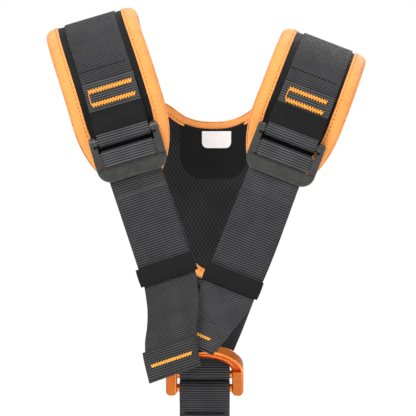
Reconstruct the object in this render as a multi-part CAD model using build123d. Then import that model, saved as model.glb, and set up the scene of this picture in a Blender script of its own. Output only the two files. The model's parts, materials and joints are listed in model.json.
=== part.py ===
"""Upper half of a Y-shaped work harness: shoulder pads, back yoke, adjusters and front ring.

Units are millimetres. +X is to the right and +Y is towards the wearer's back, seen from in
front of the wearer, and +Z is up. The origin is the middle of the ring's upper bar, where
the two load straps meet.
"""
from build123d import *
from math import asin, cos, pi, radians, sin, sqrt, tan
import os

os.makedirs("parts", exist_ok=True)

# ---- Webbing and gaps ----
WEB_HALF = 22.0            # half the width of the 44 mm load webbing
WEB_THICK = 1.4
GAP = 0.2                  # air left between layers that lie on each other
STITCH_THICK = 0.5

# ---- Shoulder pads, measured outwards from the outer face of the shell ----
PAD_HALF_BACK = 34.0
PAD_FRONT_Y = 1.8          # outer face of the pad shell in front of the chest
PAD_DEPTH = 203.0          # front face to back face, over the shoulder
PAD_BEND_START = 44.0      # height above the buckle where the pad starts to curve back
PAD_BACK_START = 54.0      # height above the buckle where it has finished curving at the back
PAD_BACK_STRAIGHT = 3.0    # flat end that meets the yoke
PAD_TIP = -31.0            # lower end of the pad, behind the buckle
TIP_ROUND_START = 30.0
TIP_ROUND_LENGTH = 62.0
SHELL = (-0.9, 0.0)
FOAM = (-8.8, -1.1)
LINING = (-10.0, -9.0)
BINDING_OUT = 1.1
BINDING_WIDTH = 11.0
WEB_ON_PAD = (0.2, 1.5)
COVER_TOP = 38.8           # top of the sleeve over the loop, above the buckle
TACK_HEIGHT = 3.7

# ---- Yoke between the shoulder blades ----
YOKE_BINDING_WIDTH = 7.5
YOKE_BINDING_GAP = 0.36    # air between the yoke's edge and its binding
YOKE_TIP_Z = 72.0
ARM_GAP = 0.6
NECK_PANEL_BOTTOM = 162.0
NECK_PANEL_HALF = 30.0
LABEL_X = 2.3
LABEL_HALF = 13.0
LABEL_HEIGHT = 15.0
LABEL_TOP_Z = 211.0
BACK_EYE_Z = 42.0
EYE_RADIUS = 8.0

# ---- Two-plate adjuster, in its own frame: u across, v up, w outwards from the hinge bar ----
HINGE_V = 13.0
HINGE_RADIUS = 3.2
HINGE_Y = -4.6
PLATE_HALF = 29.5
PLATE_BOTTOM = -21.5
PLATE_CHEEK_TOP = 7.8
PLATE_THICK = 3.0
PLATE_CORNER = 11.0
PLATE_TOP_CORNER = 2.5
PLATE_EDGE = 1.0
PLATE_EYE_RADIUS = 4.6
MARK_HEIGHT = 0.6          # how far the thumb marks stand out of the plate
WINDOW_HALF = 23.5
WINDOW_BOTTOM = -9.8
EYE_PLATE_OUT = 26.3       # the plate's eyes lie inside the lock frame's eyes
EYE_LOCK_IN = 26.5
LOCK_HALF = 29.3
LOCK_BOTTOM = -9.0
LOCK_CHEEK_TOP = 8.0
LOCK_W = (1.9, 4.9)
LOCK_BAR_V = (-8.0, 3.2)    # flat bar that the strap wraps
LOCK_BAR_W = (2.4, 4.4)
LOCK_EYE_RADIUS = 4.9
ADJUSTER_TOP = 18.4        # both plates end here, with rounded corners
ADJUSTER_CORNER = 4.0
HINGE_CLEARANCE = 0.15
CHEEK_CORNER = 2.2
LOOP_CLEARANCE = 0.1

# ---- Load strap, tail and keeper ----
TAIL_Y = -1.9
KEEPER_HALF = 24.5
KEEPER_HEIGHT = 15.0
KEEPER_THICK = 1.0
KEEPER_Y = (-4.1, 2.1)
FREE_END_GAP = 1.0

# ---- Ring and belt strap ----
RING_LEG_IN = 22.5
RING_LEG_OUT = 31.7
RING_BAR_RADIUS = 3.3
RING_LOWER_BAR_Z = -11.3
RING_LEG_BOTTOM = -17.5
RING_BEND_Z = 3.6
RING_BEND_RADIUS = 5.0
RING_EDGE = 1.6            # rounding of the ring's edges
RING_RISE = 34.0           # degrees that the bail stands above level
RING_THICK = 9.0
RING_RECESS = 1.8
RING_FOOT_CORNER = 3.6
BELT_HALF = 20.5
BELT_STITCH_Z = -29.0
BELT_EYE_Z = -90.0


class Side:
    """One shoulder: where its buckle, pad, strap and tail lie."""

    def __init__(self, name, buckle, pad_lean, pad_half, pad_shift, pad_top, crest_drift,
                 back_drift, back_path, tab_top, tack_rows, tack_half, strap_path, tail_top, tail_path):
        self.name = name
        self.buckle = buckle
        self.pad_lean = pad_lean        # degrees, positive leans to the left going up
        self.pad_half = pad_half
        self.pad_shift = pad_shift      # how far the pad's middle lies from the buckle's, to the neck
        self.pad_top = pad_top          # height of the shoulder's crest above the buckle
        self.crest_drift = crest_drift  # how far the crest has moved towards the neck
        self.back_drift = back_drift    # the same where the pad meets the yoke
        self.back_path = back_path      # (x, z, lean) of the webbing across the yoke
        self.tab_top = tab_top          # top edge of the sewn tab, above the buckle
        self.tack_rows = tack_rows      # heights of the two bar-tack rows
        self.tack_half = tack_half
        self.strap_path = strap_path    # (x, y, z, lean) down to the ring
        self.tail_top = tail_top        # (x, z) on the strap where the tail leaves the buckle
        self.tail_path = tail_path      # (x, y, z, lean) of the free end


LEFT = Side(
    "left", (-62.5, 183.3), 16.4, 38.7, 0.0, 121.0, -6.0,
    -9.5, ((71, 206, 30), (46, 167, 31)), 61.7, (43.6, 54.8), 18.9,
    strap_path=[(-64.6, 0, 186.0, 18.3), (-56.9, 0, 162.9, 18.3), (-31.2, 0, 85.4, 18.3),
                (-28.6, 0.1, 77.5, 18.3), (-24.5, 1.8, 65.0, 18.3), (-16.0, 1.8, 42.0, 15.0),
                (-7.0, 1.8, 26.0, 9.0), (-1.5, 1.2, 17.0, 3.0), (0, 0, 9.0, 0)],
    tail_top=(-59.5, 172.0),
    tail_path=[(-28.3, TAIL_Y, 76.5, 18.3), (-27.0, -6.0, 70.0, 18.3), (-25.0, -17.5, 58.0, 18.3),
               (-24.7, -29.5, 46.0, 18.3), (-25.6, -38.8, 34.0, 18.0), (-24.8, -43.9, 22.0, 18.0),
               (-23.2, -46.4, 11.0, 19.0), (-21.8, -47.4, 3.0, 20.0)])

RIGHT = Side(
    "right", (66.3, 180.8), -21.2, 37.0, 1.7, 102.0, 1.9,
    7.0, ((65, 206, 26), (44, 167, 29)), 56.4, (41.3, 50.7), 16.8,
    strap_path=[(66.6, 0, 185.0, -21.8), (58.0, 0, 164.0, -21.8), (23.1, 0, 76.7, -21.8),
                (15.5, 0, 57.0, -21.0), (9.0, 0, 40.0, -15.0), (2.5, -0.8, 22.0, -6.0),
                (0, -3.2, 11.0, 0), (0, -4.2, 4.5, 0), (0, -4.2, 0, 0)],
    tail_top=(61.2, 172.0),
    tail_path=[(19.4, TAIL_Y, 67.4, -21.8), (16.5, -4.5, 62.0, -22.0), (10.5, -11.5, 54.0, -23.0),
               (3.0, -19.8, 45.0, -24.0), (-4.0, -27.4, 36.0, -24.0), (-9.5, -31.9, 29.6, -24.0),
               (-12.0, -33.4, 26.5, -24.0)])


# ---- Helpers ----
def save(shape, name):
    shape.label = name
    export_step(shape, f"parts/{name}.step")


def lean_axes(lean):
    """Unit vectors across and up for a flat piece that leans sideways."""
    angle = radians(lean)
    across = Vector(cos(angle), 0, sin(angle))
    up = Vector(-sin(angle), 0, cos(angle))
    return across, up


def ribbon(stations, layer):
    """Flat strip through stations of (point, across, half width), between two depths.

    Depths are measured along the strip's outward normal, which is square to the across
    direction and to the direction of travel.
    """
    wires = []
    last = len(stations) - 1
    for index, (point, across, half) in enumerate(stations):
        before = stations[max(index - 1, 0)][0]
        after = stations[min(index + 1, last)][0]
        normal = across.cross((after - before).normalized()).normalized()
        corners = []
        for side, depth in ((-1, 0), (1, 0), (1, 1), (-1, 1)):
            corners.append(point + across * (side * half) + normal * layer[depth])
        wires.append(Wire.make_polygon(corners, close=True))
    return Solid.make_loft(wires, ruled=True)


def layered(side_solid):
    """The same strip as a plain Part, ready for cuts."""
    return Part(side_solid.wrapped)


def smooth(value):
    value = min(max(value, 0.0), 1.0)
    return value * value * (3 - 2 * value)


# ---- Shoulder pads ----
def pad_station(side, rise, y, half, drift=0.0):
    across, up = lean_axes(side.pad_lean)
    inward = 1 if side.pad_lean > 0 else -1
    base = Vector(side.buckle[0], y, side.buckle[1])
    return (base + up * rise + across * (inward * drift), across, half)


def tip_half(side, rise):
    """Half width of the pad where its lower end rounds in."""
    if rise > TIP_ROUND_START:
        return side.pad_half
    ratio = (TIP_ROUND_START - rise) / TIP_ROUND_LENGTH
    return side.pad_half * sqrt(max(1 - ratio * ratio, 0.0))


def shoulder_stations(side, front_rises, inset=0.0, width=None):
    """Up the chest, over the shoulder in a half ellipse, and down to the yoke."""
    stations = []
    shift = 0.0 if width else side.pad_shift
    for rise in front_rises:
        half = width if width else tip_half(side, rise) - inset
        stations.append(pad_station(side, rise, PAD_FRONT_Y, half, shift))
    steps = 18
    for step in range(1, steps + 1):
        turn = 180.0 * step / steps
        foot = PAD_BEND_START if turn <= 90 else PAD_BACK_START
        rise = foot + (side.pad_top - foot) * sin(radians(turn))
        y = PAD_FRONT_Y + PAD_DEPTH / 2 * (1 - cos(radians(turn)))
        up = smooth(turn / 90)
        back = smooth((turn - 90) / 90)
        drift = shift * (1 - back) + side.crest_drift * (up - back) + side.back_drift * back
        half = width if width else side.pad_half + (PAD_HALF_BACK - side.pad_half) * back - inset
        stations.append(pad_station(side, rise, y, half, drift))
    half = width if width else PAD_HALF_BACK - inset
    y = PAD_FRONT_Y + PAD_DEPTH
    stations.append(pad_station(side, PAD_BACK_START - PAD_BACK_STRAIGHT, y, half, side.back_drift))
    return stations


TIP_RISES = (PAD_TIP, -29, -26, -21, -14, -5, 6, 18, 30, PAD_BEND_START)


def build_pad(side):
    stations = shoulder_stations(side, TIP_RISES)
    save(ribbon(stations, SHELL), f"{side.name}_pad_shell")
    save(ribbon(stations, FOAM), f"{side.name}_pad_foam")
    save(ribbon(stations, LINING), f"{side.name}_pad_lining")
    save(pad_binding(side), f"{side.name}_pad_binding")


def pad_binding(side):
    """Folded tape round the pad's edge: a thicker, wider strip with the pad and a window cut out."""
    outer = shoulder_stations(side, (PAD_TIP - 2.0,) + TIP_RISES[1:], inset=-1.4)
    room = shoulder_stations(side, (PAD_TIP - 0.4,) + TIP_RISES[1:], inset=-0.6)
    window_rises = (PAD_TIP + BINDING_WIDTH, -14, -5, 6, 18, 30, PAD_BEND_START)
    window = shoulder_stations(side, window_rises, inset=BINDING_WIDTH)
    tape = layered(ribbon(outer, (LINING[0] - BINDING_OUT, BINDING_OUT)))
    tape = tape - layered(ribbon(room, (LINING[0] - GAP, GAP)))
    return tape - layered(ribbon(window, (LINING[0] - 4, 4)))


def yoke_back_path(side, depth_y):
    """Centres of the webbing down the outside of the yoke to its tip."""
    sign = -1 if side.pad_lean > 0 else 1
    points = side.back_path + ((22, 128, 28), (8, 100, 12), (1, YOKE_TIP_Z + 8, 2))
    path = []
    for x, z, lean in points:
        across, _ = lean_axes(-sign * lean)
        path.append((Vector(sign * x, depth_y, z), across, WEB_HALF))
    return path


def build_shoulder_webbing(side):
    start = shoulder_stations(side, (9, 24, PAD_BEND_START), width=WEB_HALF)
    lift = 1.3 if side.name == "left" else 2.9
    rest = yoke_back_path(side, PAD_FRONT_Y + PAD_DEPTH + lift)
    save(ribbon(start + rest, WEB_ON_PAD), f"{side.name}_shoulder_webbing")


# ---- Loop that holds the buckle on the pad ----
def pad_face(side, rise):
    """How far back the pad's face has curved at a height above the buckle."""
    if rise <= PAD_BEND_START:
        return 0.0
    turn = asin((rise - PAD_BEND_START) / (side.pad_top - PAD_BEND_START))
    return PAD_DEPTH / 2 * (1 - cos(turn))


def local_ribbon(side, points, half, layer):
    """Strip through (rise, y) points in the buckle's own lean."""
    stations = [pad_station(side, rise, y, half) for rise, y in points]
    return ribbon(stations, layer)


def build_buckle_loop(side):
    """Down the pad, round the hinge bar, and back up on top of itself as the sewn tab."""
    turn_radius = HINGE_RADIUS + LOOP_CLEARANCE + WEB_THICK / 2
    under_y = PAD_FRONT_Y - WEB_ON_PAD[1] - GAP - WEB_THICK / 2
    top_y = under_y - WEB_THICK - GAP
    points = []
    for rise in (side.tab_top - 6, 53, 49, 45, PAD_BEND_START - 3, 30, 20):
        if rise <= side.tab_top - 6:
            points.append((rise, under_y + pad_face(side, rise)))
    steps = 12
    for step in range(steps + 1):
        turn = pi * step / steps
        rise = HINGE_V - turn_radius * sin(turn)
        points.append((rise, HINGE_Y + turn_radius * cos(turn)))
    points.append((19, HINGE_Y - turn_radius + 0.3))
    points.append((27, HINGE_Y - 2.2))
    points.append((34, top_y - 0.6))
    cover_last = len(points) + 1
    for rise in (COVER_TOP, 43, 46, 49, 52, side.tab_top - 3, side.tab_top):
        points.append((rise, top_y + pad_face(side, rise)))
    loop = local_ribbon(side, points, WEB_HALF, (-WEB_THICK / 2, WEB_THICK / 2))
    save(loop, f"{side.name}_buckle_loop")
    cover_points = points[cover_last - 4:cover_last]
    outside = (WEB_THICK / 2 + GAP, WEB_THICK / 2 + GAP + 0.9)
    save(local_ribbon(side, cover_points, WEB_HALF + 0.6, outside), f"{side.name}_loop_cover")
    build_bartacks(side, top_y)


def build_bartacks(side, top_y):
    """Two rows of bar-tack thread across the tab, with a line that joins them at one end."""
    face_y = top_y - WEB_THICK / 2 - 2 * GAP - STITCH_THICK / 2
    reach = side.tack_half
    across, _ = lean_axes(side.pad_lean)
    rows = []
    for rise in side.tack_rows:
        ends = (rise - TACK_HEIGHT / 2, rise + TACK_HEIGHT / 2)
        points = [(end, face_y + pad_face(side, end)) for end in ends]
        rows.append(local_ribbon(side, points, reach, (-STITCH_THICK / 2, STITCH_THICK / 2)))
    link = []
    link_gap = TACK_HEIGHT / 2 + 0.3
    for rise in (side.tack_rows[0] + link_gap, side.tack_rows[1] - link_gap):
        y = face_y + pad_face(side, rise)
        link.append((pad_station(side, rise, y, 0.4)[0] - across * (reach - 0.4), across, 0.4))
    rows.append(ribbon(link, (-STITCH_THICK / 2, STITCH_THICK / 2)))
    save(Compound(rows), f"{side.name}_bartacks")


# ---- Two-plate adjuster ----
def buckle_plane(side):
    across, _ = lean_axes(side.pad_lean)
    return Plane(origin=(side.buckle[0], HINGE_Y, side.buckle[1]), x_dir=across, z_dir=(0, -1, 0))


def bar_along_u(radius, half_length, v, w):
    return Pos(0, v, w) * Rot(0, 90, 0) * Cylinder(radius, 2 * half_length)


def block(u, v, w):
    """Box between pairs of limits."""
    size = (u[1] - u[0], v[1] - v[0], w[1] - w[0])
    middle = ((u[0] + u[1]) / 2, (v[0] + v[1]) / 2, (w[0] + w[1]) / 2)
    return Pos(*middle) * Box(*size)


def rear_plate():
    half = PLATE_THICK / 2
    height = PLATE_CHEEK_TOP - PLATE_BOTTOM
    outline = Pos(0, PLATE_BOTTOM + height / 2) * Rectangle(2 * PLATE_HALF, height)
    outline = fillet(outline.vertices().sort_by(Axis.Y)[:2], PLATE_CORNER)
    outline = fillet(outline.vertices().sort_by(Axis.Y)[-2:], PLATE_TOP_CORNER)
    plate = Pos(0, 0, -half) * extrude(outline, PLATE_THICK)
    front_edges = plate.edges().filter_by_position(Axis.Z, half - 0.01, half + 0.01)
    plate = fillet(front_edges, PLATE_EDGE)
    window_height = PLATE_CHEEK_TOP - WINDOW_BOTTOM + 2
    window = Pos(0, WINDOW_BOTTOM + window_height / 2) * RectangleRounded(
        2 * WINDOW_HALF, window_height, 1.2)
    plate = plate - Pos(0, 0, -half - 1) * extrude(window, PLATE_THICK + 2)
    plate = plate - block((-WINDOW_HALF, WINDOW_HALF), (PLATE_CHEEK_TOP - 3, HINGE_V), (-5, 5))
    for sign in (-1, 1):
        inner, outer = sorted((sign * WINDOW_HALF, sign * EYE_PLATE_OUT))
        plate = plate + block((inner, outer), (PLATE_CHEEK_TOP - 2, HINGE_V), (-half, half))
        middle = (inner + outer) / 2
        eye = Pos(middle, HINGE_V, 0) * Rot(0, 90, 0) * Cylinder(PLATE_EYE_RADIUS, outer - inner)
        plate = plate + eye
    plate = plate + bar_along_u(HINGE_RADIUS, LOCK_HALF, HINGE_V, 0)
    return (plate + thumb_marks(half)) & rounded_top(PLATE_HALF)


def rounded_top(half):
    """Room that rounds off the two upper corners of a plate, seen from the front."""
    height = 80
    outline = Pos(0, ADJUSTER_TOP - height / 2) * RectangleRounded(2 * half, height, ADJUSTER_CORNER)
    return extrude(outline, 20, both=True)


def thumb_marks(face):
    """Raised chevron and wavy lip on the thumb plate."""
    sunk = 0.3
    low, high, rise = -17.6, -15.9, 4.2
    wing = 7
    peak = [(-wing, low), (0, low + rise), (wing, low), (wing, high), (0, high + rise), (-wing, high)]
    chevron = Polyline(*peak, close=True)
    mark = Pos(0, 0, face - sunk) * extrude(make_face(chevron), MARK_HEIGHT + sunk)
    right = [(0, -17.9), (7, -18.7), (12, -19.2), (19, -18.6)]
    lip_top = Spline(*[(-x, y) for x, y in right[:0:-1]], *right)
    lip_bottom = Polyline((19, -18.6), (16, -20.7), (-16, -20.7), (-19, -18.6))
    lip = make_face((lip_top + lip_bottom).edges())
    return mark + Pos(0, 0, face - sunk) * extrude(lip, MARK_HEIGHT + sunk)


def lock_frame():
    low_w, high_w = LOCK_W
    height = LOCK_CHEEK_TOP - LOCK_BOTTOM
    frame = flat_bar(0, LOCK_HALF - 2)
    for sign in (-1, 1):
        cheek_in = WINDOW_HALF + GAP
        cheek = RectangleRounded(LOCK_HALF - cheek_in, height, CHEEK_CORNER)
        cheek = Pos(sign * (cheek_in + LOCK_HALF) / 2, LOCK_BOTTOM + height / 2) * cheek
        frame = frame + Pos(0, 0, low_w) * extrude(cheek, high_w - low_w)
        inner, outer = sorted((sign * EYE_LOCK_IN, sign * LOCK_HALF))
        middle = (inner + outer) / 2
        arm = block((inner, outer), (LOCK_CHEEK_TOP - 4, HINGE_V), (low_w, high_w - 0.3))
        turn = Pos(middle, HINGE_V, 0) * Rot(0, 90, 0)
        eye = turn * Cylinder(LOCK_EYE_RADIUS, outer - inner)
        hole = turn * Cylinder(HINGE_RADIUS + HINGE_CLEARANCE, 2 * (outer - inner))
        frame = frame + arm + eye - hole
    return frame & rounded_top(LOCK_HALF)


def flat_bar(grow, half_length):
    """Flat bar with round edges that the strap wraps, grown by a layer."""
    thick = LOCK_BAR_W[1] - LOCK_BAR_W[0] + 2 * grow
    height = LOCK_BAR_V[1] - LOCK_BAR_V[0] + 2 * grow
    middle = Pos(0, sum(LOCK_BAR_V) / 2, sum(LOCK_BAR_W) / 2)
    section = RectangleRounded(thick, height, thick / 2 - 0.05)
    return middle * extrude(Rot(0, 90, 0) * section, half_length, both=True)


def bar_wrap():
    """Webbing round the lock frame's bar, open at the back where its two ends leave."""
    wrap = flat_bar(LOOP_CLEARANCE + WEB_THICK, WEB_HALF) - flat_bar(LOOP_CLEARANCE, WEB_HALF + 1)
    middle_v = sum(LOCK_BAR_V) / 2
    return wrap - block((-40, 40), (middle_v - 1.2, middle_v + 1.2), (-10, LOCK_BAR_W[0]))


def build_adjuster(side):
    plane = buckle_plane(side)
    save(plane * rear_plate(), f"{side.name}_buckle_plate")
    save(plane * lock_frame(), f"{side.name}_lock_frame")
    save(plane * bar_wrap(), f"{side.name}_bar_wrap")


# ---- Load straps, tails and keepers ----
def path_stations(path, half, half_at_ring=None):
    """Stations for a path; a load strap gathers a little where it enters the ring."""
    stations = []
    for x, y, z, lean in path:
        across, _ = lean_axes(lean)
        gather = smooth((26.0 - z) / 14.0) if half_at_ring else 0.0
        width = half + ((half_at_ring or half) - half) * gather
        stations.append((Vector(x, y, z), across, width))
    return stations


HALF_WEB = (-WEB_THICK / 2, WEB_THICK / 2)


def build_load_strap(side):
    path = list(side.strap_path)
    if side.name == "right":
        radius = 4.2
        for step in range(1, 10):
            turn = pi * step / 10
            path.append((0, -radius * cos(turn), -radius * sin(turn), 0))
        path += [(0, radius, 0, 0), (0, radius, 10, 0), (0, 3.6, 20, 0), (0, 3.6, 26, 0)]
    save(ribbon(path_stations(path, WEB_HALF, BELT_HALF), HALF_WEB), f"{side.name}_load_strap")


def build_tail(side):
    x, y, z, lean = side.tail_path[0]
    _, up = lean_axes(lean)
    end = Vector(x, y, z) + up * FREE_END_GAP
    fixed = [(side.tail_top[0], TAIL_Y, side.tail_top[1], lean), (end.X, TAIL_Y, end.Z, lean)]
    save(ribbon(path_stations(fixed, WEB_HALF), HALF_WEB), f"{side.name}_tail")
    save(ribbon(path_stations(side.tail_path, WEB_HALF), HALF_WEB), f"{side.name}_tail_end")


def build_tail_stitching():
    """Zigzag thread across the folded end of each tail."""
    for side, reach, share in ((LEFT, 17.0, 0.45), (RIGHT, 13.0, 0.5)):
        (x0, y0, z0, lean) = side.tail_path[-2]
        (x1, y1, z1, _) = side.tail_path[-1]
        low = Vector(x1, y1, z1)
        along = (Vector(x0, y0, z0) - low).normalized()
        across, _ = lean_axes(lean)
        middle = low + along * (share * (Vector(x0, y0, z0) - low).length)
        ends = ((middle + along * 1.5, across, reach), (middle - along * 1.5, across, reach))
        face = WEB_THICK / 2 + GAP
        save(ribbon(ends, (-face - STITCH_THICK, -face)), f"{side.name}_tail_stitching")


def build_keeper(side):
    path = side.strap_path[2]
    across, _ = lean_axes(path[3])
    plane = Plane(origin=(path[0], sum(KEEPER_Y) / 2, path[2]), x_dir=across, z_dir=(0, -1, 0))
    depth = KEEPER_Y[1] - KEEPER_Y[0]
    sleeve = Box(2 * KEEPER_HALF, KEEPER_HEIGHT, depth)
    room = Box(2 * (KEEPER_HALF - KEEPER_THICK), KEEPER_HEIGHT + 2, depth - 2 * KEEPER_THICK)
    save(plane * (sleeve - room), f"{side.name}_keeper")


# ---- Ring ----
def ring_leg(middle, width):
    """Leg that rises from its foot and bends forward into the start of the bail."""
    rise = radians(RING_RISE)
    reach = RING_BEND_RADIUS * tan(radians(90 - RING_RISE) / 2)
    forward = Vector(0, -cos(rise), sin(rise))
    bend = Vector(middle, 0, RING_BEND_Z)
    low = bend - Vector(0, 0, reach)
    high = bend + forward * reach
    foot = Vector(middle, 0, RING_LEG_BOTTOM)
    path = Wire([Line(foot, low), TangentArc(low, high, tangent=(0, 0, 1))])
    foot_plane = Plane(origin=foot, x_dir=(1, 0, 0), z_dir=(0, 0, 1))
    section = foot_plane * RectangleRounded(width, RING_THICK, RING_EDGE)
    height = 80
    foot_outline = Pos(middle, RING_LEG_BOTTOM + height / 2) * RectangleRounded(
        width, height, RING_FOOT_CORNER)
    room = extrude(Plane.XZ * foot_outline, 40, both=True)
    leg = sweep(section, path=path) & room
    return leg, forward * reach


def build_ring():
    """Forged ring: an arched bail with recessed faces, two bent legs and two round bars."""
    middle = (RING_LEG_IN + RING_LEG_OUT) / 2
    width = RING_LEG_OUT - RING_LEG_IN
    section = RectangleRounded(width, RING_THICK, RING_EDGE)
    recess = RectangleRounded(width - 2 * RING_RECESS, 2 * RING_RECESS, 1.0)
    for sign in (-1, 1):
        section = section - Pos(0, sign * RING_THICK / 2) * recess
    bail = revolve(Plane.XZ * Pos(middle, 0) * section, Axis.Z, -180)
    ring = Part()
    for sign in (-1, 1):
        leg, stub = ring_leg(sign * middle, width)
        ring = ring + leg
    ring = ring + Pos(0, 0, RING_BEND_Z) * Pos(*stub) * Rot(-RING_RISE, 0, 0) * bail
    for z in (0, RING_LOWER_BAR_Z):
        ring = ring + Pos(0, 0, z) * Rot(0, 90, 0) * Cylinder(RING_BAR_RADIUS, 2 * middle)
    save(ring, "attachment_ring")


# ---- Sewn straps with a round eye ----
def sewn_strap(top_radius, top_z, eye_z, stitch_z, half, y):
    """Side outline of a doubled strap: a loop at the top, flat plies, and an eye below."""
    wall = WEB_THICK
    flat = WEB_THICK + 0.1
    top_out = top_radius + wall
    eye_out = EYE_RADIUS + wall
    eye_join = eye_z + eye_out + 8
    outline = Pos(0, top_z) * Circle(top_out) + Pos(0, eye_z) * Circle(eye_out)
    upper = [(-top_out, top_z), (top_out, top_z), (flat, stitch_z), (flat, eye_join)]
    upper += [(eye_out * 0.93, eye_z + 3.4), (-eye_out * 0.93, eye_z + 3.4)]
    upper += [(-flat, eye_join), (-flat, stitch_z)]
    outline = outline + make_face(Polyline(*upper, close=True))
    outline = outline - Pos(0, top_z) * Circle(top_radius) - Pos(0, eye_z) * Circle(EYE_RADIUS)
    opening = [(-top_radius, top_z), (top_radius, top_z), (0, stitch_z + 5)]
    outline = outline - make_face(Polyline(*opening, close=True))
    plane = Plane(origin=(0, y, 0), x_dir=(0, 1, 0), z_dir=(1, 0, 0))
    return plane * extrude(outline, half, both=True)


def build_belt_strap():
    strap = sewn_strap(RING_BAR_RADIUS + GAP, RING_LOWER_BAR_Z, BELT_EYE_Z, BELT_STITCH_Z, BELT_HALF, 0)
    save(strap, "belt_strap")
    front = -(WEB_THICK + 0.1 + GAP)
    rows = []
    for z in (BELT_STITCH_Z - 3, BELT_STITCH_Z - 9):
        rows.append(block((-BELT_HALF + 4, BELT_HALF - 4), (front - STITCH_THICK, front), (z - 1, z + 1)))
    save(Compound(rows), "belt_stitching")


# ---- Yoke ----
def arm_end(side):
    """The two corners where a pad meets the yoke, left one first."""
    point, across, half = shoulder_stations(side, TIP_RISES)[-1]
    low = point - across * half
    high = point + across * half
    return (low.X, low.Z), (high.X, high.Z)


def shifted(curve, inset, beyond):
    """The curve moved sideways into the yoke, and carried on a little at both ends."""
    count = 44
    points = []
    for step in range(count + 1):
        share = step / count
        tangent = curve.tangent_at(share)
        point = curve.position_at(share) + Vector(tangent.Y, -tangent.X) * inset
        if step == 0:
            points.append(point - tangent * beyond)
        elif step == count:
            points.append(point + tangent * beyond)
        else:
            points.append(point)
    return Spline(*points)


def yoke_outline(inset=0.0, beyond=0.0):
    """Neck curve, arm ends and the V below, moved inwards by the inset."""
    left_out, left_in = arm_end(LEFT)
    right_in, right_out = arm_end(RIGHT)
    neck = [(-40, 227.2), (-28.7, 218.8), (-14, 213.5), (0, 212.5), (14, 213.8), (28, 219.8), (38.5, 228.5)]
    low_right = [(80, 166), (46, 131), (34, 106), (24, 84), (12, 74.5)]
    low_left = [(-x, z) for x, z in reversed(low_right)]
    left_up, right_up = pad_direction(LEFT), pad_direction(RIGHT)
    neck_curve = Spline(below(left_in), *neck, below(right_in), tangents=(-left_up, right_up))
    lower_curve = Spline(
        below(right_out), *low_right, (0, YOKE_TIP_Z), *low_left, below(left_out),
        tangents=(-right_up, left_up))
    if inset or beyond:
        neck_curve = shifted(neck_curve, inset, beyond)
        lower_curve = shifted(lower_curve, inset, beyond)
    right_edge = Line(neck_curve @ 1, lower_curve @ 0)
    left_edge = Line(lower_curve @ 1, neck_curve @ 0)
    return make_face(Wire([neck_curve, right_edge, lower_curve, left_edge]))


def pad_direction(side):
    """Direction up along a pad, in the yoke's flat drawing."""
    _, up = lean_axes(side.pad_lean)
    return Vector(up.X, up.Z)


def below(corner):
    """Corner moved down to leave air between the yoke and the pad."""
    return corner[0], corner[1] - ARM_GAP


def yoke_slab(face, near, far):
    """Flat layer of the yoke between two Y depths."""
    plane = Plane(origin=(0, far, 0), x_dir=(1, 0, 0), z_dir=(0, -1, 0))
    return plane * extrude(face, far - near, dir=(0, 0, 1))


BACK_Y = PAD_FRONT_Y + PAD_DEPTH


def layer_y(layer):
    """A pad layer's depths on the far side of the shoulder."""
    return BACK_Y + layer[0], BACK_Y + layer[1]


def build_yoke():
    face = yoke_outline()
    save(yoke_slab(face, *layer_y(SHELL)), "yoke_shell")
    save(yoke_slab(face, *layer_y(FOAM)), "yoke_foam")
    save(yoke_slab(face, *layer_y(LINING)), "yoke_lining")
    near, far = BACK_Y + LINING[0], BACK_Y
    grown = yoke_outline(-GAP - BINDING_OUT)
    room = yoke_outline(-YOKE_BINDING_GAP, beyond=3)
    inner = yoke_outline(YOKE_BINDING_WIDTH, beyond=14)
    tape = yoke_slab(grown, near - BINDING_OUT, far + BINDING_OUT)
    tape = tape - yoke_slab(room, near - GAP, far + GAP) - yoke_slab(inner, near - 4, far + 4)
    save(Compound(tape.solids()), "yoke_binding")
    build_neck_panel(near)


def build_neck_panel(near):
    height = 70
    panel = Pos(0, NECK_PANEL_BOTTOM + height / 2) * RectangleRounded(2 * NECK_PANEL_HALF, height, 20)
    panel = panel & yoke_outline(YOKE_BINDING_WIDTH + 0.4)
    save(yoke_slab(panel, near - GAP - 0.8, near - GAP), "yoke_neck_panel")
    middle = LABEL_TOP_Z - YOKE_BINDING_WIDTH + 1 - LABEL_HEIGHT / 2
    tag = Pos(LABEL_X, middle) * RectangleRounded(2 * LABEL_HALF, LABEL_HEIGHT, 5)
    save(yoke_slab(tag, near - 2.6, near - 2.1), "label")


def build_back_strap():
    y = BACK_Y + 6.8
    flat_top = 98.0
    eye = Circle(EYE_RADIUS + WEB_THICK) - Circle(EYE_RADIUS)
    plane = Plane(origin=(0, y, BACK_EYE_Z), x_dir=(0, 1, 0), z_dir=(1, 0, 0))
    rise = flat_top - BACK_EYE_Z
    ply = Pos(0, (rise + EYE_RADIUS) / 2) * Rectangle(WEB_THICK, rise - EYE_RADIUS)
    neck = make_face(Polyline((-8.6, 3.6), (-0.7, 16), (0.7, 16), (8.6, 3.6), close=True))
    outline = eye + ply + neck - Circle(EYE_RADIUS)
    save(plane * extrude(outline, WEB_HALF, both=True), "back_strap")
    rows = []
    face = y + WEB_THICK / 2 + GAP
    for z in (YOKE_TIP_Z + 6, YOKE_TIP_Z + 14, YOKE_TIP_Z + 22):
        rows.append(block((-18, 18), (face, face + STITCH_THICK), (z - 1, z + 1)))
    save(Compound(rows), "back_stitching")


for one_side in (LEFT, RIGHT):
    build_pad(one_side)
    build_shoulder_webbing(one_side)
    build_buckle_loop(one_side)
    build_adjuster(one_side)
    build_load_strap(one_side)
    build_tail(one_side)
    build_keeper(one_side)
build_tail_stitching()
build_ring()
build_belt_strap()
build_yoke()
build_back_strap()
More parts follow.
